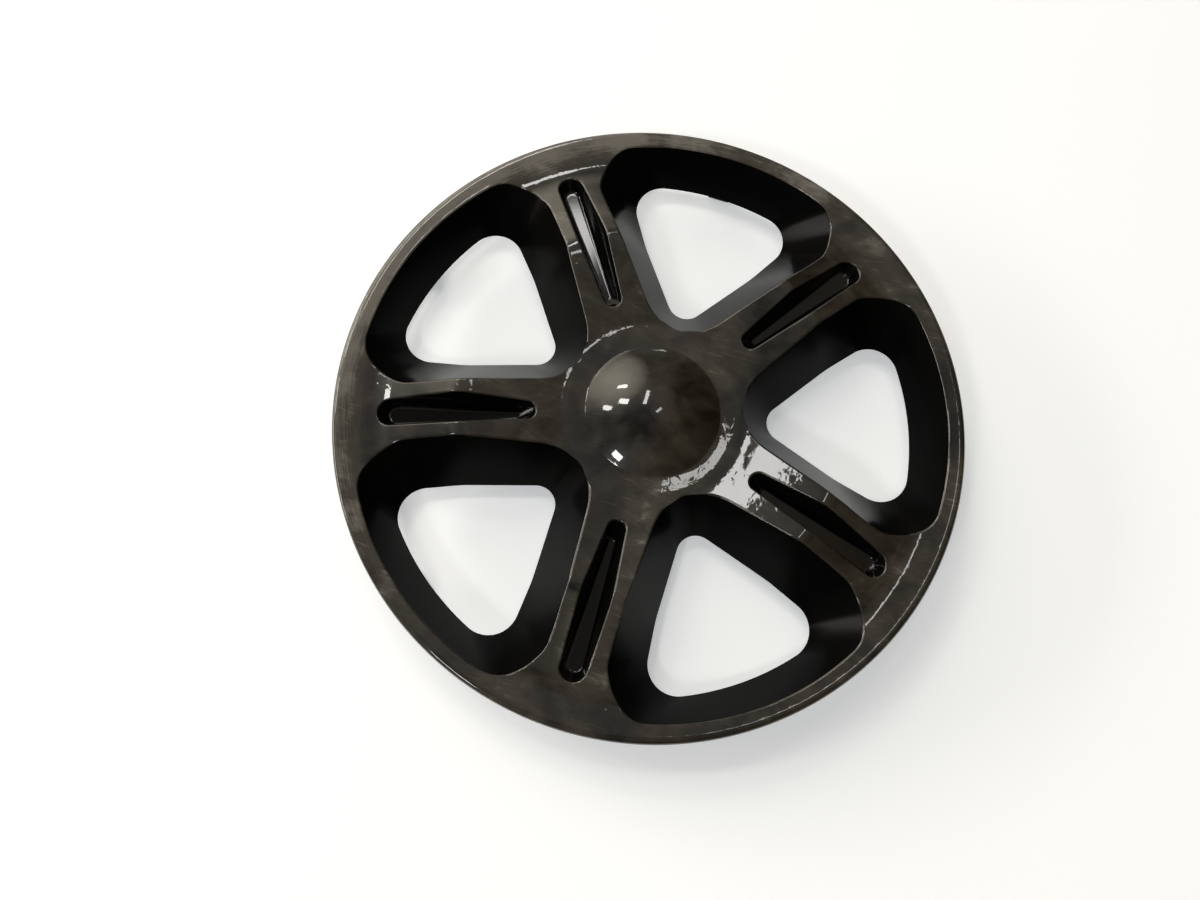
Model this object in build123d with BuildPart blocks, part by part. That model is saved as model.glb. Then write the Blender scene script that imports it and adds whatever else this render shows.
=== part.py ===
import os
from math import asin, cos, degrees, radians, sin, sqrt

from build123d import *

# A five-spoke wheel cover for a 14 inch steel wheel, lying on its clip legs with its face up.
# The wheel's axis is Z, the legs end at Z = 0, and one spoke points along -Y.

# Face of the cover, a turned section with the windows and slots let into it
cover_diameter = 380.0
wall = 2.5
dome_diameter = 81.0
dome_height = 11.5
dome_root_radius = 1.5
hub_height = 40.8
hub_flat_diameter = 108.0
ridge_diameter = 230.0
ridge_height = 52.0
foot_inset = 25.0
foot_height = 36.4
rim_rise = 5.0
lip_height = 32.0
hub_blend = 60.0
ridge_blend = 22.0
foot_blend = 40.0
rim_roll = 3.0

# Windows between the spokes: drafted pockets, wide at the front and open at the back.
# The spoke's half width is given at three stations along it, on the plane above the ridge and at the rear.
spoke_count = 5
window_top_gap = 1.0
hub_station = 75.0
bend_station_inset = 75.0
rim_station_inset = 40.0
front_hub_half_width = 14.5
front_bend_half_width = 16.6
front_rim_half_width = 8.6
front_rim_land = 3.0
front_hub_corner = 31.0
front_rim_corner = 27.0
rear_height = 12.0
rear_hub_half_width = 39.2
rear_bend_half_width = 38.8
rear_rim_half_width = 41.8
rear_rim_land = 24.0
rear_hub_corner = 12.0
rear_rim_corner = 18.0
side_blend = 90.0
window_edge_radius = 1.4

# Blind slot along each spoke, with its floor narrower than its mouth
mouth_hub_end = 62.5
mouth_hub_radius = 7.2
mouth_rim_inset = 15.0
mouth_rim_radius = 12.0
floor_height = 30.0
floor_hub_end = 79.5
floor_hub_radius = 2.6
floor_rim_inset = 31.5
floor_rim_radius = 5.4

# Spring-wire ring, with a bend that clears the tyre valve
ring_inset = 16.0
wire_diameter = 3.0
ring_height = 5.0
valve_bend_width = 44.0
valve_bend_depth = 5.5
valve_bend_slope = 8.0
valve_bend_radius = 10.0

# Clip legs, with a hook inside for the ring and a barb outside for the wheel
leg_count = 10
leg_width = 14.0
leg_thickness = 4.0
ring_clearance = 0.2
snap_lip = 1.2
snap_lip_height = 2.5
barb = 1.4
barb_height = 6.0

cover_radius = cover_diameter / 2
dome_radius = dome_diameter / 2
dome_sphere = (dome_radius**2 + dome_height**2) / (2 * dome_height)
foot_radius = cover_radius - foot_inset
bend_station = cover_radius - bend_station_inset
rim_station = cover_radius - rim_station_inset
mouth_rim_end = cover_radius - mouth_rim_inset
floor_rim_end = cover_radius - floor_rim_inset
ring_radius = cover_radius - ring_inset
half_sector = 180 / spoke_count
first_spoke = -90.0
first_window = first_spoke + half_sector
window_top = ridge_height + window_top_gap
window_draft = (rear_bend_half_width - front_bend_half_width) / (window_top - rear_height)
wall_across = wall * sqrt(1 + window_draft**2)
window_edge_level = (rear_height + foot_height) / 2


def draw_face_line():
    """Front line of the section, from the axis over dome, hub, ridge and rim to the lip."""
    RadiusArc((0, hub_height + dome_height), (dome_radius, hub_height), dome_sphere)
    FilletPolyline(
        (dome_radius, hub_height),
        (hub_flat_diameter / 2, hub_height),
        (ridge_diameter / 2, ridge_height),
        (foot_radius, foot_height),
        (cover_radius, foot_height + rim_rise),
        (cover_radius, lip_height),
        radius=[hub_blend, ridge_blend, foot_blend, rim_roll],
    )


def along_spoke(station, half_width):
    """Point beside a spoke, seen in a window pointing along X."""
    spoke = radians(half_sector)
    return (
        station * cos(spoke) + half_width * sin(spoke),
        station * sin(spoke) - half_width * cos(spoke),
    )


def draw_window(half_widths, outer_radius, hub_corner, rim_corner, growth):
    """Window outline pointing along X: spoke sides with a bend, a rim arc, rounded corners."""
    hub_half_width, bend_half_width, rim_half_width = half_widths
    spoke = radians(half_sector)
    inner_taper = (bend_half_width - hub_half_width) / (bend_station - hub_station)
    outer_taper = (rim_half_width - bend_half_width) / (rim_station - bend_station)
    hub_point = (hub_half_width - inner_taper * hub_station) / (sin(spoke) - inner_taper * cos(spoke))
    end_half_width = bend_half_width + outer_taper * (cover_radius - bend_station)
    bend_x, bend_y = along_spoke(bend_station, bend_half_width)
    end_x, end_y = along_spoke(cover_radius, end_half_width)
    with BuildLine() as outline:
        Polyline(
            (hub_point, 0),
            (bend_x, bend_y),
            (end_x, end_y),
            (cover_diameter, 0),
            (end_x, -end_y),
            (bend_x, -bend_y),
            close=True,
        )
    make_face(outline.edges())
    Circle(outer_radius, mode=Mode.INTERSECT)
    fillet(vertices().sort_by_distance((hub_point, 0))[0], hub_corner)
    for side in (-1, 1):
        fillet(vertices().sort_by_distance((end_x, side * end_y))[0], rim_corner)
        fillet(vertices().sort_by_distance((bend_x, side * bend_y))[0], side_blend)
    if growth:
        offset(amount=growth)


def draw_front_window(growth):
    """Window outline on the plane above the ridge."""
    half_widths = (front_hub_half_width, front_bend_half_width, front_rim_half_width)
    draw_window(half_widths, cover_radius - front_rim_land, front_hub_corner, front_rim_corner, growth)


def draw_rear_window(growth):
    """Window outline at the rear edge of the window's walls."""
    half_widths = (rear_hub_half_width, rear_bend_half_width, rear_rim_half_width)
    draw_window(half_widths, cover_radius - rear_rim_land, rear_hub_corner, rear_rim_corner, growth)


def draw_slot(hub_end, hub_radius, rim_end, rim_radius, growth):
    """Tapered slot outline pointing along X, as the hull of a small and a large round."""
    with Locations((hub_end + hub_radius, 0)):
        Circle(hub_radius + growth)
    with Locations((rim_end - rim_radius, 0)):
        Circle(rim_radius + growth)
    make_hull()


# The space under the middle of the face's wall, which trims what stands on its back
with BuildPart() as under_face:
    with BuildSketch(Plane.XZ):
        with BuildLine():
            draw_face_line()
            Polyline(
                (cover_radius, lip_height),
                (cover_radius, -wall),
                (0, -wall),
                (0, hub_height + dome_height),
            )
        make_face()
        offset(amount=-wall / 2)
    revolve(axis=Axis.Z)

# Window walls before the windows are cut
with BuildPart() as window_walls:
    with BuildSketch(Plane.XY.offset(rear_height)):
        draw_rear_window(wall_across)
    with BuildSketch(Plane.XY.offset(window_top)):
        draw_front_window(wall_across)
    loft()
    add(under_face.part, mode=Mode.INTERSECT)

# The open space of a window, carried on past the rear edge of its walls
with BuildPart() as window_space:
    with BuildSketch(Plane.XY.offset(rear_height)) as rear_outline:
        draw_rear_window(0)
    with BuildSketch(Plane.XY.offset(window_top)):
        draw_front_window(0)
    loft()
    extrude(rear_outline.sketch, amount=-wall)

# Pan behind a slot
with BuildPart() as slot_pan:
    with BuildSketch(Plane.XY.offset(floor_height - wall)):
        draw_slot(floor_hub_end, floor_hub_radius, floor_rim_end, floor_rim_radius, wall)
    with BuildSketch(Plane.XY.offset(window_top)):
        draw_slot(mouth_hub_end, mouth_hub_radius, mouth_rim_end, mouth_rim_radius, wall)
    loft()
    add(under_face.part, mode=Mode.INTERSECT)

# The open space of a slot
with BuildPart() as slot_space:
    with BuildSketch(Plane.XY.offset(floor_height)):
        draw_slot(floor_hub_end, floor_hub_radius, floor_rim_end, floor_rim_radius, 0)
    with BuildSketch(Plane.XY.offset(window_top)):
        draw_slot(mouth_hub_end, mouth_hub_radius, mouth_rim_end, mouth_rim_radius, 0)
    loft()

# A clip leg: foot lip under the ring, snap lip over it, barb on the outer side
with BuildPart() as clip_leg:
    seat_gap = wire_diameter / 2 + ring_clearance
    leg_inside = ring_radius + seat_gap
    leg_outside = leg_inside + leg_thickness
    lip_top = ring_height - seat_gap
    snap_bottom = ring_height + seat_gap
    snap_top = snap_bottom + snap_lip_height
    barb_bottom = snap_top
    with BuildSketch(Plane.XZ):
        with BuildLine():
            Polyline(
                (ring_radius - wire_diameter / 2, 0),
                (leg_outside, 0),
                (leg_outside, barb_bottom),
                (leg_outside + barb, barb_bottom + barb),
                (leg_outside, barb_bottom + barb_height),
                (leg_outside, window_top),
                (leg_inside, window_top),
                (leg_inside, snap_top),
                (leg_inside - snap_lip, snap_bottom + snap_lip_height / 2),
                (leg_inside, snap_bottom),
                (leg_inside, lip_top),
                (ring_radius - wire_diameter / 2, lip_top),
                close=True,
            )
        make_face()
    extrude(amount=leg_width / 2, both=True)
    add(under_face.part, mode=Mode.INTERSECT)

with BuildPart() as wheel_cover:
    with BuildSketch(Plane.XZ):
        with BuildLine():
            draw_face_line()
            offset(amount=-wall, side=Side.RIGHT)
        make_face()
    revolve(axis=Axis.Z)
    fillet(edges().sort_by_distance((dome_radius, 0, hub_height))[0], dome_root_radius)
    with PolarLocations(0, spoke_count, first_window):
        add(window_walls.part)
    with PolarLocations(0, spoke_count, first_spoke):
        add(slot_pan.part)
    with PolarLocations(0, leg_count, first_spoke):
        add(clip_leg.part)
    with PolarLocations(0, spoke_count, first_window):
        add(window_space.part, mode=Mode.SUBTRACT)
    window_edges = edges(Select.LAST).filter_by(lambda edge: edge.center().Z > window_edge_level)
    fillet(window_edges, window_edge_radius)
    with PolarLocations(0, spoke_count, first_spoke):
        add(slot_space.part, mode=Mode.SUBTRACT)
wheel_cover.part.label = "wheel_cover"

with BuildPart() as retaining_ring:
    valve_angle = first_spoke + 180 / leg_count
    ring_plane = Plane.XY.offset(ring_height).rotated((0, 0, valve_angle))
    mouth_angle = degrees(asin(valve_bend_width / 2 / ring_radius))
    bend_radius_at = ring_radius - valve_bend_depth
    bend_half = valve_bend_width / 2 - valve_bend_slope
    with BuildLine(ring_plane) as ring_path:
        hoop = CenterArc((0, 0), ring_radius, mouth_angle, 360 - 2 * mouth_angle)
        Polyline(hoop @ 1, (bend_radius_at, -bend_half), (bend_radius_at, bend_half), hoop @ 0)
        fillet(ring_path.vertices(), valve_bend_radius)
    with BuildSketch(Plane(ring_path.line @ 0, z_dir=ring_path.line % 0)):
        Circle(wire_diameter / 2)
    sweep(path=ring_path.line)
retaining_ring.part.label = "retaining_ring"

os.makedirs("parts", exist_ok=True)
export_step(wheel_cover.part, "parts/wheel_cover.step")
export_step(retaining_ring.part, "parts/retaining_ring.step")
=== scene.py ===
from math import acos, asin, atan2, cos, pi, radians, sin, sqrt, tan

import bpy
import numpy as np
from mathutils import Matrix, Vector


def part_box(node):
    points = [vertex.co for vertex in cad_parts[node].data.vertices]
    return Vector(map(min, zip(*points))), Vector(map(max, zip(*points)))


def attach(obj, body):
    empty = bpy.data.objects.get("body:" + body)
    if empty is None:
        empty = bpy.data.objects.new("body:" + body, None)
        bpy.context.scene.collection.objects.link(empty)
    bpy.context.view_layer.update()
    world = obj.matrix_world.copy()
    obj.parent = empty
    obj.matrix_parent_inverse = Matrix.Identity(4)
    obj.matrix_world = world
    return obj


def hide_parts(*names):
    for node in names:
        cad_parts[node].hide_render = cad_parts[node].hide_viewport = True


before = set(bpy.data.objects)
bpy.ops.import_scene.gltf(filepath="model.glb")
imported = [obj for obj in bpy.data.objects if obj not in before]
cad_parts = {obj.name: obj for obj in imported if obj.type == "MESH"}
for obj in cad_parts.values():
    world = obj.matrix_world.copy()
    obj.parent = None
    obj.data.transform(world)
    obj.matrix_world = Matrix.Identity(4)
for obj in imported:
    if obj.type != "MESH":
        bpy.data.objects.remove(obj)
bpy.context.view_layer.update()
bpy.ops.object.select_all(action="DESELECT")

# Face of the wheel cover: one injection moulding in black plastic, about 2.5 mm thick all over.
# Its section is turned about the wheel's axis: a low dome, a flat hub, a rise to a ridge, a fall to a
# foot near the rim, and a rolled edge with a short lip behind it. Lengths are in millimetres.
mm = 0.001
cover_low, cover_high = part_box("wheel_cover")
cover_radius = cover_high.x / mm
wall = 2.5
dome_radius = 40.5
dome_height = 11.5
dome_root = 1.5
hub_height = 40.8
hub_flat_radius = 54.0
hub_blend = 60.0
ridge_radius = 115.0
ridge_height = 52.0
ridge_blend = 22.0
foot_inset = 25.0
foot_radius = cover_radius - foot_inset
foot_height = 36.4
foot_blend = 40.0
rim_height = 41.4
rim_roll = 3.0
lip_height = 32.0
dome_points, root_points = 80, 12
blend_steps = 80
section_steps = 2000


def rounded_line(corners, radii, arc_steps):
    """Points along a line of straight stretches whose inner corners are rounded to the given radii."""
    points = [np.array(corners[0], float)]
    for before, corner, after, radius in zip(corners, corners[1:], corners[2:], radii):
        before, corner, after = (np.array(p, float) for p in (before, corner, after))
        incoming = (before - corner) / np.linalg.norm(before - corner)
        outgoing = (after - corner) / np.linalg.norm(after - corner)
        half_angle = acos(np.clip(incoming @ outgoing, -1, 1)) / 2
        bisector = (incoming + outgoing) / np.linalg.norm(incoming + outgoing)
        centre = corner + bisector * radius / sin(half_angle)
        tangent = radius / tan(half_angle)
        start = corner + incoming * tangent - centre
        turn = pi - 2 * half_angle
        side = 1 if start[0] * bisector[1] - start[1] * bisector[0] < 0 else -1
        for step in range(arc_steps + 1):
            angle = side * turn * step / arc_steps
            c, s = cos(angle), sin(angle)
            points.append(centre + np.array((c * start[0] - s * start[1], s * start[0] + c * start[1])))
    points.append(np.array(corners[-1], float))
    return np.array(points)


def along(points, count):
    """The same line with its points spread evenly, in the given number of steps."""
    reach = np.concatenate(([0], np.cumsum(np.linalg.norm(np.diff(points, axis=0), axis=1))))
    places = np.linspace(0, reach[-1], count + 1)
    return np.stack([np.interp(places, reach, points[:, k]) for k in range(points.shape[1])], axis=1)


sphere_radius = (dome_radius**2 + dome_height**2) / (2 * dome_height)
sphere_centre = hub_height + dome_height - sphere_radius
root_level = hub_height + dome_root
root_centre = sqrt((sphere_radius + dome_root) ** 2 - (root_level - sphere_centre) ** 2)
root_angle = atan2(root_centre, root_level - sphere_centre)
dome_turn = np.linspace(0, root_angle, dome_points)
dome_line = np.column_stack((np.sin(dome_turn), np.cos(dome_turn))) * sphere_radius + (0, sphere_centre)
root_turn = np.linspace(root_angle, 0, root_points)[1:]
root_line = (root_centre, root_level) - np.column_stack((np.sin(root_turn), np.cos(root_turn))) * dome_root
face_line = rounded_line(
    [
        (root_centre, hub_height),
        (hub_flat_radius, hub_height),
        (ridge_radius, ridge_height),
        (foot_radius, foot_height),
        (cover_radius, rim_height),
        (cover_radius, lip_height),
    ],
    [hub_blend, ridge_blend, foot_blend, rim_roll],
    blend_steps,
)
front_section = along(np.concatenate((dome_line, root_line, face_line[1:])), section_steps)
slope = np.gradient(front_section, axis=0)
slope /= np.linalg.norm(slope, axis=1)[:, None]
back_section = front_section + wall * np.stack((slope[:, 1], -slope[:, 0]), axis=1)
back_section[0, 0] = 0
crest = int(np.argmax(np.where(front_section[:, 0] > foot_radius, front_section[:, 1], 0)))


def face_height(section, radius):
    """Height of the face, front or back, at a radius inside the crest of the rim."""
    return np.interp(radius, section[:crest, 0], section[:crest, 1])


# Windows and slots of the face: five drafted pockets that open at the back, and a blind slot along
# each spoke. The mould's cores draw them straight forwards, so each wall is a ruled surface from an
# outline on a plane just above the ridge to a smaller one behind.
spoke_count = 5
half_sector = pi / spoke_count
mouth_gap = 1.0
mouth_level = ridge_height + mouth_gap
rear_level = 12.0
hub_station = 75.0
rim_station = 150.0
# Half widths of a spoke at the hub station, the ridge and the rim station, and corners at hub and rim
front_half_widths = (14.5, 16.6, 8.6)
front_outer_radius = cover_radius - 3.0
front_corners = (31.0, 27.0)
rear_half_widths = (39.2, 38.8, 41.8)
rear_outer_radius = cover_radius - 24.0
rear_corners = (12.0, 18.0)
side_blend = 90.0
window_edge_roll = 1.5
# Station and radius of the rounds at the two ends of a slot
slot_mouth_hub, slot_mouth_rim = (69.7, 7.2), (163.0, 12.0)
slot_floor_hub, slot_floor_rim = (82.1, 2.6), (153.1, 5.4)
slot_floor_level = 30.0
slot_edge_roll = 1.1
slot_floor_roll = 1.2
back_edge_roll = 1.0
# Steps of the mesh along and across each patch of the moulding
slot_hub_steps, slot_side_steps, slot_rim_steps = 14, 30, 18
slot_wall_steps, slot_floor_steps = 4, 3
side_steps = slot_hub_steps + slot_side_steps + slot_rim_steps
corner_steps = 14
rim_arc_steps = 20
roll_steps = 5
hub_steps = 8
across_steps = 16
band_steps = 4
rim_roll_steps = 16
dome_steps = 18
wall_steps, wall_crowding = 8, 1.6


def beside_spoke(station, half_width):
    """Point beside a spoke, with the window's middle line along X and the spoke's at half a sector."""
    return np.array(
        (
            station * cos(half_sector) + half_width * sin(half_sector),
            station * sin(half_sector) - half_width * cos(half_sector),
        )
    )


def window_outline(half_widths, outer_radius, corners, growth):
    """Half of a window's outline: hub corner with the side, rim corner, and rim arc."""
    hub_half, ridge_half, rim_half = (half_width - growth for half_width in half_widths)
    hub_corner, rim_corner = (radius + growth for radius in corners)
    outer_radius = outer_radius + growth
    hub_side = beside_spoke(hub_station, hub_half)
    bend = beside_spoke(ridge_radius, ridge_half)
    rim_side = beside_spoke(rim_station, rim_half)
    hub_point = np.array((hub_side[0] - hub_side[1] * (bend - hub_side)[0] / (bend - hub_side)[1], 0.0))
    run = (rim_side - bend) / np.linalg.norm(rim_side - bend)
    inwards = np.array((run[1], -run[0]))
    base = bend + inwards * rim_corner
    reach = outer_radius - rim_corner
    along_run = -(base @ run) + sqrt((base @ run) ** 2 - base @ base + reach**2)
    rim_centre = base + run * along_run
    side_end = rim_centre - inwards * rim_corner
    mirrored = np.array((bend[0], -bend[1]))
    half_arc, corner_points = 20, 60
    side_corners = [mirrored, hub_point, bend, side_end]
    side = rounded_line(side_corners, [hub_corner, side_blend + growth], 2 * half_arc)
    side = side[half_arc + 1 :]
    first = atan2(*(side_end - rim_centre)[::-1])
    last = atan2(*rim_centre[::-1])
    turn = np.linspace(first, last, corner_points)
    corner = rim_centre + rim_corner * np.stack((np.cos(turn), np.sin(turn)), axis=1)
    sweep = np.linspace(last, 0, rim_arc_steps + 1)
    arc = outer_radius * np.stack((np.cos(sweep), np.sin(sweep)), axis=1)
    middle = corner_points // 2
    side = np.concatenate((side, corner[1 : middle + 1]))
    runs = along(side, side_steps), along(corner[middle:], corner_steps)[1:], arc[1:]
    return np.concatenate(runs)


def slot_outline(hub_round, rim_round, growth):
    """Half of a slot's outline, from its hub end to its rim end, on the window's side of the spoke."""
    (hub_centre, hub_radius), (rim_centre, rim_radius) = hub_round, rim_round
    hub_radius, rim_radius = hub_radius + growth, rim_radius + growth
    lean = asin((rim_radius - hub_radius) / (rim_centre - hub_centre))
    hub_points, rim_points = 30, 40
    hub_turn = np.linspace(0, pi / 2 - lean, hub_points)
    rim_turn = np.linspace(pi / 2 - lean, pi, rim_points)
    hub_end = np.stack((hub_centre - hub_radius * np.cos(hub_turn), hub_radius * np.sin(hub_turn)), axis=1)
    rim_end = np.stack((rim_centre - rim_radius * np.cos(rim_turn), rim_radius * np.sin(rim_turn)), axis=1)
    side = along(np.stack((hub_end[-1], rim_end[0])), slot_side_steps)
    line = np.concatenate((along(hub_end, slot_hub_steps), side[1:], along(rim_end, slot_rim_steps)[1:]))
    return np.stack([beside_spoke(station, half_width) for station, half_width in line])


def edge_on_face(mouth, base, base_level, section):
    """Where each ruling of a wall, from its mouth down to its base, meets the face."""
    low, high = np.zeros(len(mouth)), np.ones(len(mouth))
    halvings = 40
    for _ in range(halvings):
        share = (low + high) / 2
        place = mouth + (base - mouth) * share[:, None]
        level = mouth_level + (base_level - mouth_level) * share
        above = level > face_height(section, np.hypot(place[:, 0], place[:, 1]))
        low, high = np.where(above, share, low), np.where(above, high, share)
    return np.column_stack((place, level))


def rolled_edge(edge, base, section, roll, middle_line):
    """Rows of points round the edge between the face and a wall, the first row on the face."""
    run = np.gradient(edge, axis=0)
    square = np.array((-sin(middle_line), cos(middle_line), 0.0))
    run[[0, -1]] = np.outer(run[[0, -1]] @ square, square)
    run /= np.linalg.norm(run, axis=1)[:, None]
    down = base - edge
    down -= run * np.sum(down * run, axis=1)[:, None]
    down /= np.linalg.norm(down, axis=1)[:, None]
    radius = np.hypot(edge[:, 0], edge[:, 1])
    probe = 0.2
    rise = (face_height(section, radius + probe) - face_height(section, radius - probe)) / (2 * probe)
    upright = np.column_stack((-rise * edge[:, 0] / radius, -rise * edge[:, 1] / radius, np.ones(len(edge))))
    upright /= np.linalg.norm(upright, axis=1)[:, None]
    across = np.cross(upright, run)
    across /= np.linalg.norm(across, axis=1)[:, None]
    across *= -np.sign(np.sum(across * down, axis=1))[:, None]
    half_angle = np.arccos(np.clip(np.sum(across * down, axis=1), -1, 1)) / 2
    reach = roll / np.tan(half_angle)
    middle = across + down
    centre = edge + middle / np.linalg.norm(middle, axis=1)[:, None] * (roll / np.sin(half_angle))[:, None]
    start = (edge + across * reach[:, None] - centre) / roll
    end = (edge + down * reach[:, None] - centre) / roll
    turn = np.arccos(np.clip(np.sum(start * end, axis=1), -1, 1))[:, None]
    rows = []
    for share in np.linspace(0, 1, roll_steps + 1):
        arm = np.sin((1 - share) * turn) * start + np.sin(share * turn) * end
        rows.append(centre + roll * arm / np.sin(turn))
    rows[0][:, 2] = face_height(section, np.hypot(rows[0][:, 0], rows[0][:, 1]))
    return rows


def polar(radius, angle, height):
    """Points at a radius and an angle about the wheel's axis."""
    return np.stack(np.broadcast_arrays(radius * np.cos(angle), radius * np.sin(angle), height), axis=-1)


def face_patches(section, window_line, slot_line):
    """Grids of the face between a slot and a window, of the rim band outside them, and of the dome."""
    window_radius, slot_radius = (np.hypot(line[:, 0], line[:, 1]) for line in (window_line, slot_line))
    window_angle, slot_angle = (np.arctan2(line[:, 1], line[:, 0]) for line in (window_line, slot_line))
    turn_in = side_steps + corner_steps
    hub_share = np.linspace(0, 1, hub_steps + 1)[:-1]
    rim_share = np.linspace(0, 1, corner_steps + 1)[1:]
    inner = np.concatenate(
        (
            root_centre + (slot_radius[0] - root_centre) * hub_share,
            slot_radius,
            slot_radius[-1] + (window_radius[turn_in] - slot_radius[-1]) * rim_share,
        )
    )
    inner_angle = np.concatenate((0 * hub_share + half_sector, slot_angle, 0 * rim_share + half_sector))
    outer = np.concatenate(
        (root_centre + (window_radius[0] - root_centre) * hub_share, window_radius[: turn_in + 1])
    )
    outer_angle = np.concatenate((0 * hub_share, window_angle[: turn_in + 1]))
    share = (1 - np.cos(np.linspace(0, pi, across_steps + 1))) / 2
    radius = inner[:, None] + (outer - inner)[:, None] * share
    angle = inner_angle[:, None] + (outer_angle - inner_angle)[:, None] * share
    spoke_face = polar(radius, angle, face_height(section, radius))

    band_radius = np.concatenate((radius[-1], window_radius[turn_in + 1 :]))
    band_angle = np.concatenate((angle[-1], window_angle[turn_in + 1 :]))
    band_share = np.linspace(0, 1, band_steps + 1)[:, None]
    band = band_radius + (section[crest, 0] - band_radius) * band_share
    roll = along(section[crest:], rim_roll_steps)[1:]
    rim_band = np.concatenate(
        (polar(band, band_angle, face_height(section, band)), polar(roll[:, :1], band_angle, roll[:, 1:]))
    )

    dome_section = np.concatenate((along(dome_line, dome_steps), root_line[2::3], face_line[:1]))
    dome = polar(dome_section[:, :1], angle[0], face_height(section, dome_section[:, :1]))
    return [spoke_face, rim_band, dome]


def slot_wall(rows, base):
    """Grid of a slot from its rolled edge down its wall and round a bend to the middle of its floor."""
    spoke_line = np.array((cos(half_sector), sin(half_sector)))
    station = np.clip(base[:, :2] @ spoke_line, slot_floor_hub[0], slot_floor_rim[0])
    middle = np.column_stack((np.outer(station, spoke_line), base[:, 2]))
    upwards = (rows[-1] - base) / np.linalg.norm(rows[-1] - base, axis=1)[:, None]
    inwards = (middle - base) / np.linalg.norm(middle - base, axis=1)[:, None]
    wall_end, floor_start = base + upwards * slot_floor_roll, base + inwards * slot_floor_roll
    bend = np.linspace(0, 1, roll_steps + 1)[:, None, None]
    draw = np.linspace(0, 1, slot_wall_steps + 1)[1:-1, None, None]
    floor = np.linspace(0, 1, slot_floor_steps + 1)[1:, None, None]
    return np.concatenate(
        (
            rows,
            rows[-1] + (wall_end - rows[-1]) * draw,
            wall_end * (1 - bend) ** 2 + base * 2 * bend * (1 - bend) + floor_start * bend**2,
            floor_start + (middle - floor_start) * floor,
        )
    )


def half_sector_skin(section, growth, window_roll, slot_roll):
    """Grids of half a sector of the cover's front or back: face, rim band, dome, window and slot."""
    mouth = window_outline(front_half_widths, front_outer_radius, front_corners, growth)
    base = window_outline(rear_half_widths, rear_outer_radius, rear_corners, growth)
    base = np.column_stack((base, np.full(len(base), rear_level)))
    window_edge = edge_on_face(mouth, base[:, :2], rear_level, section)
    window_rows = rolled_edge(window_edge, base, section, window_roll, 0)
    draw = (np.linspace(0, 1, wall_steps + 1) ** wall_crowding)[1:, None, None]
    window_wall = np.concatenate((window_rows, window_rows[-1] + (base - window_rows[-1]) * draw))

    floor_level = slot_floor_level - growth
    mouth = slot_outline(slot_mouth_hub, slot_mouth_rim, growth)
    base = slot_outline(slot_floor_hub, slot_floor_rim, growth)
    base = np.column_stack((base, np.full(len(base), floor_level)))
    slot_edge = edge_on_face(mouth, base[:, :2], floor_level, section)
    slot_rows = rolled_edge(slot_edge, base, section, slot_roll, half_sector)
    return face_patches(section, window_rows[0], slot_rows[0]) + [window_wall, slot_wall(slot_rows, base)]


def copy_to_each_spoke():
    """Copy all that is in edit mode round the wheel's axis, once for each other spoke."""
    bpy.ops.mesh.select_all(action="SELECT")
    bpy.ops.mesh.spin(
        steps=spoke_count - 1,
        dupli=True,
        angle=2 * pi * (spoke_count - 1) / spoke_count,
        center=(0, 0, 0),
        axis=(0, 0, 1),
    )


front_skin = half_sector_skin(front_section, 0.0, window_edge_roll, slot_edge_roll)
back_skin = half_sector_skin(back_section, wall, back_edge_roll, back_edge_roll)
rim_band, window_wall = 1, 3
closing_edges = [np.stack((front_skin[k][-1], back_skin[k][-1])) for k in (window_wall, rim_band)]

face_finish, window_finish, slot_finish, back_finish = range(4)
front_finishes = [face_finish, face_finish, face_finish, window_finish, slot_finish]
patches = list(zip(front_skin, front_finishes)) + [(grid, back_finish) for grid in back_skin + closing_edges]
points, faces, finishes = [], [], []
for grid, patch_finish in patches:
    first = len(points)
    rows, columns = grid.shape[:2]
    points += [tuple(point * mm) for point in grid.reshape(-1, 3)]
    for row in range(rows - 1):
        on_rolled_edge = patch_finish != back_finish and row < roll_steps
        for column in range(columns - 1):
            corner = first + row * columns + column
            faces.append((corner, corner + 1, corner + columns + 1, corner + columns))
            finishes.append(face_finish if on_rolled_edge else patch_finish)
cover_mesh = bpy.data.meshes.new("wheel_cover_moulding")
cover_mesh.from_pydata(points, [], faces)
cover_mesh.polygons.foreach_set("material_index", finishes)
cover = bpy.data.objects.new("wheel_cover_moulding", cover_mesh)
bpy.context.collection.objects.link(cover)
bpy.context.view_layer.objects.active = cover
cover.select_set(True)
mirror = cover.modifiers.new("Other half of the sector", "MIRROR")
mirror.use_axis = (False, True, False)
mirror.merge_threshold = 0.02 * mm
bpy.ops.object.modifier_apply(modifier=mirror.name)
cover.rotation_euler.z = half_sector - pi / 2
bpy.ops.object.transform_apply(location=False, rotation=True, scale=False)
bpy.ops.object.mode_set(mode="EDIT")
copy_to_each_spoke()
bpy.ops.mesh.select_all(action="SELECT")
bpy.ops.mesh.remove_doubles(threshold=0.02 * mm)
bpy.ops.mesh.normals_make_consistent(inside=False)
bpy.ops.object.mode_set(mode="OBJECT")
smooth_angle = radians(38)
bpy.ops.object.shade_smooth_by_angle(angle=smooth_angle)

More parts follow.
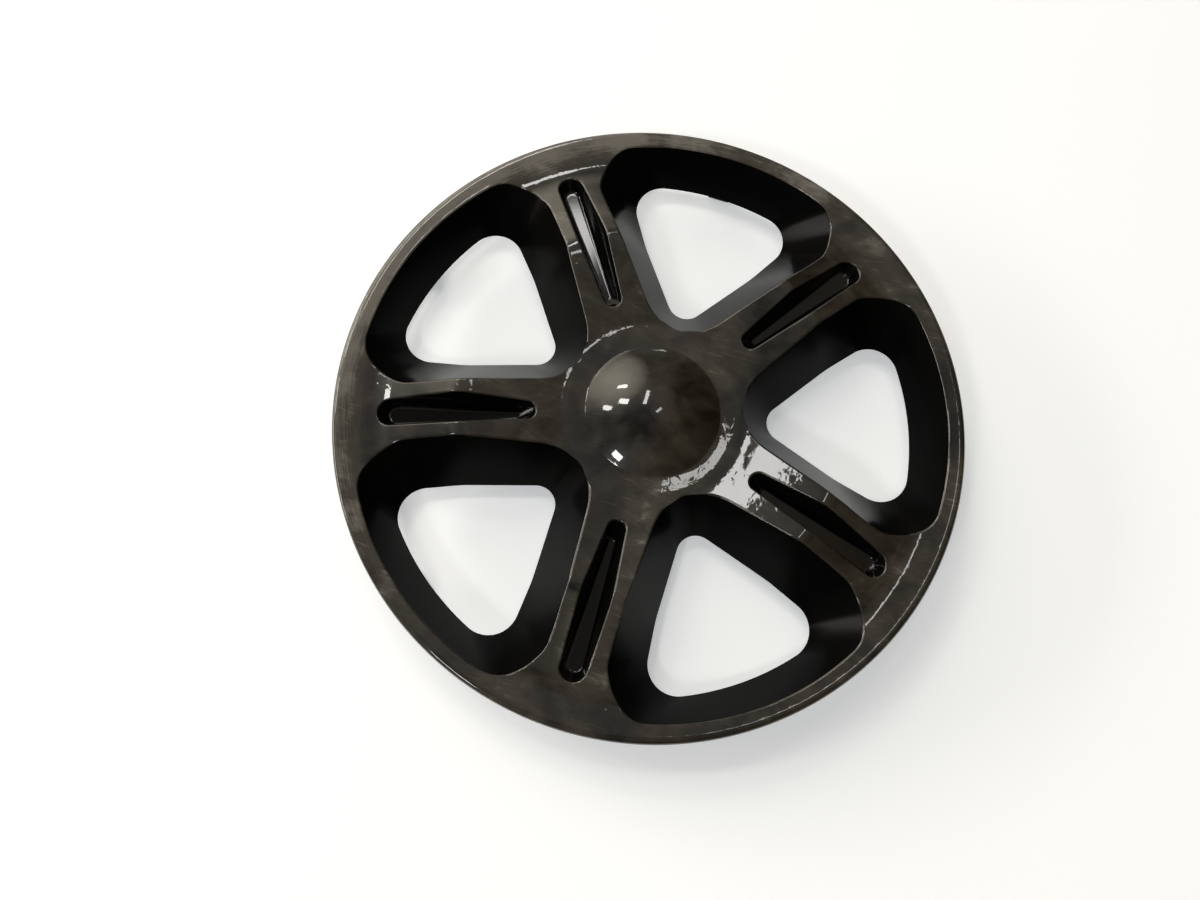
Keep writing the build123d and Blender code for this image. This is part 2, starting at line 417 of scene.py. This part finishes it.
# Finish of the moulding: a polished tool gives gloss black plastic. The face has been wiped and handled, so
# haze, hairline scratches, fine veins and rubbing streaks on the rim lie over its shine; the rim's rubbing
# turns grey only on its upper left, a painted sheen where the light falls. The pocket walls get a darker
# copy with little shine, painted shade for the dark inside the pockets, and the back keeps an unpolished
# tool's duller skin.
clean_black = (0.002, 0.0019, 0.0016, 1)
hazy_black = (0.044, 0.039, 0.03, 1)
# Grey at the top of the tint: real haze, scratches and rubbing, and the painted sheen on the rim's upper
# left.
scuff_and_sheen_grey = (0.17, 0.16, 0.14, 1)
scratch_directions = (12, 48, 97, 151)
scratch_strength = 0.35
rim_scuff_and_sheen_start, rim_scuff_and_sheen_full = (foot_radius + 1.0) * mm, (cover_radius - 8.0) * mm
lip_start, lip_end = (cover_radius - 2.8) * mm, (cover_radius - 0.8) * mm
# The rim's rubbing is lightened only towards this side, the upper left: painted sheen where the light falls,
# over real rubbing streaks.
painted_sheen_direction, painted_sheen_reach = (-0.87, 0.5, 0), 0.17
ripple_depth = 0.28 * mm
vein_wander = (0.02, 0.02, 0.02)


def black_plastic(name, colour, roughness, specular):
    """Black plastic of one finish."""
    plastic = bpy.data.materials.new(name)
    plastic.use_nodes = True
    shader = plastic.node_tree.nodes["Principled BSDF"]
    shader.inputs["Base Color"].default_value = (*colour, 1)
    shader.inputs["Roughness"].default_value = roughness
    shader.inputs["Specular IOR Level"].default_value = specular
    return plastic


def noise(tree, vector, scale, detail, roughness, distortion=0.0, output="Fac"):
    """Cloudy noise read at the given vector."""
    texture = tree.nodes.new("ShaderNodeTexNoise")
    texture.inputs["Scale"].default_value = scale
    texture.inputs["Detail"].default_value = detail
    texture.inputs["Roughness"].default_value = roughness
    texture.inputs["Distortion"].default_value = distortion
    tree.links.new(vector, texture.inputs["Vector"])
    return texture.outputs[output]


def spread(tree, value, low, high, to_low, to_high):
    """A value between low and high, spread between two others."""
    change = tree.nodes.new("ShaderNodeMapRange")
    change.inputs["From Min"].default_value = low
    change.inputs["From Max"].default_value = high
    change.inputs["To Min"].default_value = to_low
    change.inputs["To Max"].default_value = to_high
    tree.links.new(value, change.inputs["Value"])
    return change.outputs["Result"]


def feed(tree, socket, value):
    """Set a socket to a number, a vector or a colour, or link it to another socket."""
    if isinstance(value, (float, tuple)):
        socket.default_value = value
    else:
        tree.links.new(value, socket)


def combine(tree, operation, first, second):
    """Two values joined by a sum, a product or the like."""
    joined = tree.nodes.new("ShaderNodeMath")
    joined.operation = operation
    feed(tree, joined.inputs[0], first)
    feed(tree, joined.inputs[1], second)
    return joined.outputs["Value"]


def combine_vectors(tree, operation, *vectors):
    """Outputs of a sum, a dot product, a length or the like of vectors."""
    joined = tree.nodes.new("ShaderNodeVectorMath")
    joined.operation = operation
    for socket, vector in zip(joined.inputs, vectors):
        feed(tree, socket, vector)
    return joined.outputs


def stretched(tree, vector, turn, stretch):
    """Coordinates turned about the axis and stretched, so that noise on them runs in streaks."""
    mapping = tree.nodes.new("ShaderNodeMapping")
    mapping.inputs["Rotation"].default_value = (0, 0, radians(turn))
    mapping.inputs["Scale"].default_value = stretch
    tree.links.new(vector, mapping.inputs["Vector"])
    return mapping.outputs["Vector"]


def colour_ramp(tree, value, first, last, *between):
    """Colour that a value picks between stops, each a place and a colour."""
    ramp = tree.nodes.new("ShaderNodeValToRGB")
    stops = ramp.color_ramp.elements
    for stop, (position, colour) in zip(stops, (first, last)):
        stop.position, stop.color = position, colour
    for position, colour in between:
        stops.new(position).color = colour
    tree.links.new(value, ramp.inputs["Fac"])
    return ramp.outputs["Color"]


gloss_face = black_plastic("Handled gloss black", (0.01, 0.009, 0.008), 0.4, 0.18)
skin = gloss_face.node_tree
skin_shader = skin.nodes["Principled BSDF"]
skin_shader.inputs["Coat Weight"].default_value = 1.0
skin_shader.inputs["Coat Roughness"].default_value = 0.03
place = skin.nodes.new("ShaderNodeTexCoord").outputs["Object"]

clouds = spread(skin, noise(skin, place, 24.0, 3.0, 0.55, 0.8), 0.34, 0.72, 0.05, 1.0)
smears = noise(skin, stretched(skin, place, 35, (1, 1.8, 1)), 48.0, 4.0, 0.6, 0.8)
haze = combine(skin, "MULTIPLY", clouds, spread(skin, smears, 0.3, 0.72, 0.3, 1.0))

scratches = 0.0
for direction in scratch_directions:
    streaks = noise(skin, stretched(skin, place, direction, (1, 26, 1)), 58.0, 2.0, 0.5, 0.25)
    scratches = combine(skin, "MAXIMUM", spread(skin, streaks, 0.68, 0.76, 0.0, 1.0), scratches)

flattened = stretched(skin, place, 0, (1, 1, 0))
distance = combine_vectors(skin, "LENGTH", flattened)["Value"]
parts = skin.nodes.new("ShaderNodeSeparateXYZ")
skin.links.new(flattened, parts.inputs["Vector"])
bearing = combine(skin, "ARCTAN2", parts.outputs["Y"], parts.outputs["X"])
round_rim = skin.nodes.new("ShaderNodeCombineXYZ")
skin.links.new(combine(skin, "MULTIPLY", distance, 1500.0), round_rim.inputs["X"])
skin.links.new(combine(skin, "MULTIPLY", bearing, 9.0), round_rim.inputs["Y"])
rubbing = spread(skin, noise(skin, round_rim.outputs["Vector"], 1.0, 4.0, 0.6), 0.3, 0.75, 0.4, 1.0)
leaning = combine_vectors(skin, "DOT_PRODUCT", place, painted_sheen_direction)["Value"]
on_rim = spread(skin, distance, rim_scuff_and_sheen_start, rim_scuff_and_sheen_full, 0.0, 1.0)
off_lip = spread(skin, distance, lip_start, lip_end, 1.0, 0.0)
# Painted sheen: the rim band is lightened to grey only on its upper-left side, where the light falls.
painted_sheen_side = spread(skin, leaning, 0.0, painted_sheen_reach, 0.0, 1.25)
sheen_side_of_rim = combine(skin, "MULTIPLY", combine(skin, "MULTIPLY", on_rim, off_lip), painted_sheen_side)
scuffs_and_sheen = combine(skin, "MULTIPLY", rubbing, sheen_side_of_rim)

marks_and_sheen = combine(skin, "ADD", combine(skin, "MULTIPLY", scratches, scratch_strength), scuffs_and_sheen)
veil_and_sheen = combine(skin, "ADD", haze, marks_and_sheen)
tint = colour_ramp(skin, veil_and_sheen, (0.0, clean_black), (1.0, scuff_and_sheen_grey), (0.6, hazy_black))
skin.links.new(tint, skin_shader.inputs["Base Color"])
skin.links.new(spread(skin, veil_and_sheen, 0.0, 1.0, 0.28, 0.5), skin_shader.inputs["Roughness"])

fine_waves = combine(skin, "MULTIPLY", noise(skin, place, 240.0, 2.0, 0.5), 0.04)
waves = combine(skin, "ADD", noise(skin, place, 55.0, 2.0, 0.5), fine_waves)
wander = noise(skin, place, 90.0, 2.0, 0.5, output="Color")
veins = skin.nodes.new("ShaderNodeTexVoronoi")
veins.feature = "DISTANCE_TO_EDGE"
veins.inputs["Scale"].default_value = 75.0
skin.links.new(
    combine_vectors(skin, "MULTIPLY_ADD", wander, vein_wander, place)["Vector"], veins.inputs["Vector"]
)
furrows = spread(skin, veins.outputs["Distance"], 0.0, 0.1, 0.0, 0.045)
ripple = skin.nodes.new("ShaderNodeBump")
ripple.inputs["Strength"].default_value = 0.5
ripple.inputs["Distance"].default_value = ripple_depth
skin.links.new(combine(skin, "ADD", waves, furrows), ripple.inputs["Height"])
skin.links.new(ripple.outputs["Normal"], skin_shader.inputs["Normal"])
skin.links.new(ripple.outputs["Normal"], skin_shader.inputs["Coat Normal"])

# Pocket walls: a darker, less shiny copy of the plastic, painted shade for the dark inside the pockets.
pocket_shade_black = black_plastic("Pocket black with painted shade", (0.003, 0.003, 0.003), 0.2, 0.04)
slot_black = black_plastic("Gloss black slots", (0.003, 0.003, 0.003), 0.08, 0.5)
satin_back = black_plastic("Satin black back", (0.012, 0.012, 0.012), 0.45, 0.4)
for plastic in (gloss_face, pocket_shade_black, slot_black, satin_back):
    cover.data.materials.append(plastic)

# Ten clip legs, moulded with the cover, stand behind its rim. Each has a foot lip and a snap lip that
# hold the spring-wire ring between them, and a barb outside that grips the wheel's own rim.
leg_width = 14.0
leg_thickness = 4.0
leg_edge = 0.4
ring_radius = cover_radius - 16.0
wire_radius = 1.5
ring_level = 5.0
ring_clearance = 0.2
seat_gap = wire_radius + ring_clearance
foot_lip_inside = ring_radius - wire_radius
leg_inside = ring_radius + seat_gap
leg_outside = leg_inside + leg_thickness
snap_lip_height = 2.5
snap_bottom = ring_level + seat_gap
snap_top = snap_bottom + snap_lip_height
barb_bulge, barb_length, snap_bulge = 1.4, 6.0, 1.2
wall_lean = (front_outer_radius - rear_outer_radius) / (mouth_level - rear_level)
wall_middle = rear_outer_radius + wall / 2 * sqrt(1 + wall_lean**2)
leg_sides = np.array((leg_outside, leg_inside))
face_tops = face_height(front_section, leg_sides) - wall / 2
wall_tops = rear_level + (leg_sides - wall_middle) / wall_lean
for name, first_leg, tops in (
    ("spoke_legs", -pi / 2, face_tops),
    ("window_legs", half_sector - pi / 2, wall_tops),
):
    leg_profile = [
        (foot_lip_inside, 0.0),
        (leg_outside, 0.0),
        (leg_outside, snap_top),
        (leg_outside + barb_bulge, snap_top + barb_bulge),
        (leg_outside, snap_top + barb_length),
        (leg_outside, tops[0]),
        (leg_inside, tops[1]),
        (leg_inside, snap_top),
        (leg_inside - snap_bulge, (snap_top + snap_bottom) / 2),
        (leg_inside, snap_bottom),
        (leg_inside, ring_level - seat_gap),
        (foot_lip_inside, ring_level - seat_gap),
    ]
    leg_mesh = bpy.data.meshes.new(name)
    leg_start = [(r * mm, -leg_width / 2 * mm, z * mm) for r, z in leg_profile]
    leg_mesh.from_pydata(leg_start, [], [range(len(leg_profile))])
    legs = bpy.data.objects.new(name, leg_mesh)
    bpy.context.collection.objects.link(legs)
    bpy.ops.object.select_all(action="DESELECT")
    bpy.context.view_layer.objects.active = legs
    legs.select_set(True)
    bpy.ops.object.mode_set(mode="EDIT")
    bpy.ops.mesh.select_all(action="SELECT")
    bpy.ops.mesh.extrude_region_move(TRANSFORM_OT_translate={"value": (0, leg_width * mm, 0)})
    bpy.ops.mesh.select_all(action="SELECT")
    bpy.ops.mesh.normals_make_consistent(inside=False)
    bpy.ops.object.mode_set(mode="OBJECT")
    rounding = legs.modifiers.new("Rounded edges", "BEVEL")
    rounding.width = leg_edge * mm
    rounding.segments = 3
    rounding.angle_limit = radians(25)
    bpy.ops.object.modifier_apply(modifier=rounding.name)
    legs.rotation_euler.z = first_leg
    bpy.ops.object.transform_apply(location=False, rotation=True, scale=False)
    bpy.ops.object.mode_set(mode="EDIT")
    copy_to_each_spoke()
    bpy.ops.object.mode_set(mode="OBJECT")
    bpy.ops.object.shade_smooth_by_angle(angle=smooth_angle)
    legs.data.materials.append(satin_back)
    cover.select_set(True)
    bpy.context.view_layer.objects.active = cover
    bpy.ops.object.join()
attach(cover, "root")
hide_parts("wheel_cover")

# Retaining ring: a hoop of 3 mm spring wire in bright steel, with a shallow bend that clears the tyre
# valve. It snaps into the seats of the clip legs and presses them out against the wheel.
bpy.ops.object.select_all(action="DESELECT")
bpy.context.view_layer.objects.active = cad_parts["retaining_ring"]
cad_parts["retaining_ring"].select_set(True)
bpy.ops.object.duplicate()
ring = bpy.context.active_object
ring.name = "retaining_ring_wire"
for key in list(ring.keys()):
    del ring[key]
bpy.ops.object.mode_set(mode="EDIT")
bpy.ops.mesh.select_all(action="SELECT")
bpy.ops.mesh.remove_doubles(threshold=0.01 * mm)
bpy.ops.object.mode_set(mode="OBJECT")
bpy.ops.object.shade_smooth_by_angle(angle=radians(45))
spring_steel = bpy.data.materials.new("Drawn spring steel")
spring_steel.use_nodes = True
wire = spring_steel.node_tree.nodes["Principled BSDF"]
wire.inputs["Base Color"].default_value = (0.52, 0.51, 0.49, 1)
wire.inputs["Metallic"].default_value = 1
wire.inputs["Roughness"].default_value = 0.32
ring.data.materials.clear()
ring.data.materials.append(spring_steel)
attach(ring, "root")
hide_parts("retaining_ring")

# Studio floor: a plain pale sheet that the cover lies on, in matt white paint. Towards the camera, and
# in reflections, it also glows a little, so that it shows as white and still keeps the cover's shadow.
floor_size = 6
floor_glow = 0.4
bpy.ops.mesh.primitive_plane_add(size=floor_size, location=(0, 0, cover_low.z))
floor = bpy.context.active_object
floor.name = "studio_floor"
pale_floor = bpy.data.materials.new("Pale floor")
pale_floor.use_nodes = True
paint = pale_floor.node_tree
paint_shader = paint.nodes["Principled BSDF"]
paint_shader.inputs["Base Color"].default_value = (0.86, 0.86, 0.86, 1)
paint_shader.inputs["Roughness"].default_value = 0.9
paint_shader.inputs["Specular IOR Level"].default_value = 0.1
paint_shader.inputs["Emission Color"].default_value = (0.9, 0.96, 1, 1)
path = paint.nodes.new("ShaderNodeLightPath")
seen = path.outputs["Is Camera Ray"]
for ray in ("Is Glossy Ray", "Is Transmission Ray"):
    seen = combine(paint, "MAXIMUM", seen, path.outputs[ray])
paint.links.new(combine(paint, "MULTIPLY", seen, floor_glow), paint_shader.inputs["Emission Strength"])
floor.data.materials.append(pale_floor)

# Studio light: a dim warm room, browner on its right and with a soft bright wall on the far left, which
# the gloss reflects. The camera itself sees a pale backdrop in its place.
dim_wall, dim_ceiling = (0.11, 0.097, 0.08, 1), (0.28, 0.266, 0.238, 1)
plain_white, brown = (1.0, 1.0, 1.0, 1.0), (0.85, 0.71, 0.53, 1)
bright_wall = (3.0, 2.75, 2.25, 1)
bright_wall_direction = (-0.62, 0.55, 0.56)
pale_backdrop = (0.9, 0.9, 0.9, 1)


def mix_colours(tree, blend, share, first, second):
    """Two colours mixed or multiplied, by a share."""
    mix = tree.nodes.new("ShaderNodeMix")
    mix.data_type = "RGBA"
    mix.blend_type = blend
    for name, value in (("Factor", share), ("A", first), ("B", second)):
        feed(tree, mix.inputs[name], value)
    return mix.outputs["Result"]


scene = bpy.context.scene
scene.world = bpy.data.worlds.new("Studio")
scene.world.use_nodes = True
room = scene.world.node_tree
outlook = room.nodes.new("ShaderNodeTexCoord").outputs["Generated"]
sides = room.nodes.new("ShaderNodeSeparateXYZ")
room.links.new(outlook, sides.inputs["Vector"])
height_shade = colour_ramp(room, sides.outputs["Z"], (0.2, dim_wall), (1.0, dim_ceiling))
brown_side = colour_ramp(room, sides.outputs["X"], (0.0, plain_white), (0.35, brown))
walls = mix_colours(room, "MULTIPLY", 1.0, height_shade, brown_side)
furniture = noise(room, stretched(room, outlook, 20, (1, 1, 0.25)), 3.2, 1.0, 0.5, 0.2)
walls = mix_colours(room, "MULTIPLY", 1.0, walls, spread(room, furniture, 0.42, 0.6, 0.3, 1.15))
towards = combine_vectors(room, "DOT_PRODUCT", outlook, bright_wall_direction)["Value"]
walls = mix_colours(room, "MIX", spread(room, towards, 0.88, 1.0, 0.0, 1.0), walls, bright_wall)
to_camera = room.nodes.new("ShaderNodeLightPath").outputs["Is Camera Ray"]
walls = mix_colours(room, "MIX", to_camera, walls, pale_backdrop)
room.links.new(walls, room.nodes["Background"].inputs["Color"])
room.nodes["Background"].inputs["Strength"].default_value = 1.0

# Lamps: a soft lamp at the front, panels in the ceiling that draw the bright patches on hub, spokes and
# dome, and a long low light on the left wall and on the far one that catch the rounded edges.
ceiling_height = 3.0
plain_light, warm_light = (1.0, 0.99, 0.97), (1.0, 0.98, 0.95)


def soft_lamp(name, location, target, width, depth, power, colour):
    """A soft rectangular lamp at a place, turned towards a target."""
    lamp = bpy.data.lights.new(name, "AREA")
    lamp.shape = "RECTANGLE"
    lamp.size, lamp.size_y = width, depth
    lamp.energy = power
    lamp.color = colour
    holder = bpy.data.objects.new(name, lamp)
    holder.location = location
    holder.rotation_euler = (Vector(target) - Vector(location)).to_track_quat("-Z", "Y").to_euler()
    scene.collection.objects.link(holder)


soft_lamp("Front lamp", (-0.95, -1.8, 2.2), (0, 0, 0), 0.5, 0.3, 13, plain_light)
for name, x, y, width, depth, power, colour in (
    ("Ceiling panel", 0.275, 0.79, 0.1, 0.34, 0.95, plain_light),
    ("Far ceiling panel", -0.51, 1.32, 0.18, 0.85, 6.5, plain_light),
    ("Left ceiling panel", -1.64, 0.88, 0.6, 0.28, 11, warm_light),
    ("Far left ceiling panel", -2.14, 1.88, 0.7, 0.3, 13, warm_light),
    ("Outer left ceiling panel", -2.68, 0.4, 0.8, 0.3, 14, warm_light),
):
    soft_lamp(name, (x, y, ceiling_height), (x, y, 0), width, depth, power, colour)
bpy.data.objects["Ceiling panel"].rotation_euler = (0, 0, radians(-30))
soft_lamp("Left wall", (-3.0, -0.1, 0.95), (0, 0, 0), 2.6, 0.4, 50, (1.0, 0.94, 0.86))
soft_lamp("Far wall", (-0.7, 3.0, 0.5), (0, 0, 0), 1.2, 0.14, 3.5, (1.0, 0.97, 0.92))

# Camera: a phone held above the cover and a little to its near side, tilted, as in the photograph.
# Its place, tilt and lens were fitted to the outline of the cover and its windows.
camera_data = bpy.data.cameras.new("Camera")
camera_data.sensor_width = 36
camera_data.lens = 25.914
camera_data.clip_start = 0.01
camera = bpy.data.objects.new("Camera", camera_data)
camera.location = (-0.00553, -0.15513, 0.53480)
camera.rotation_euler = (radians(13.881), radians(-2.303), radians(17.338))
scene.collection.objects.link(camera)
scene.camera = camera
scene.view_settings.view_transform = "Standard"
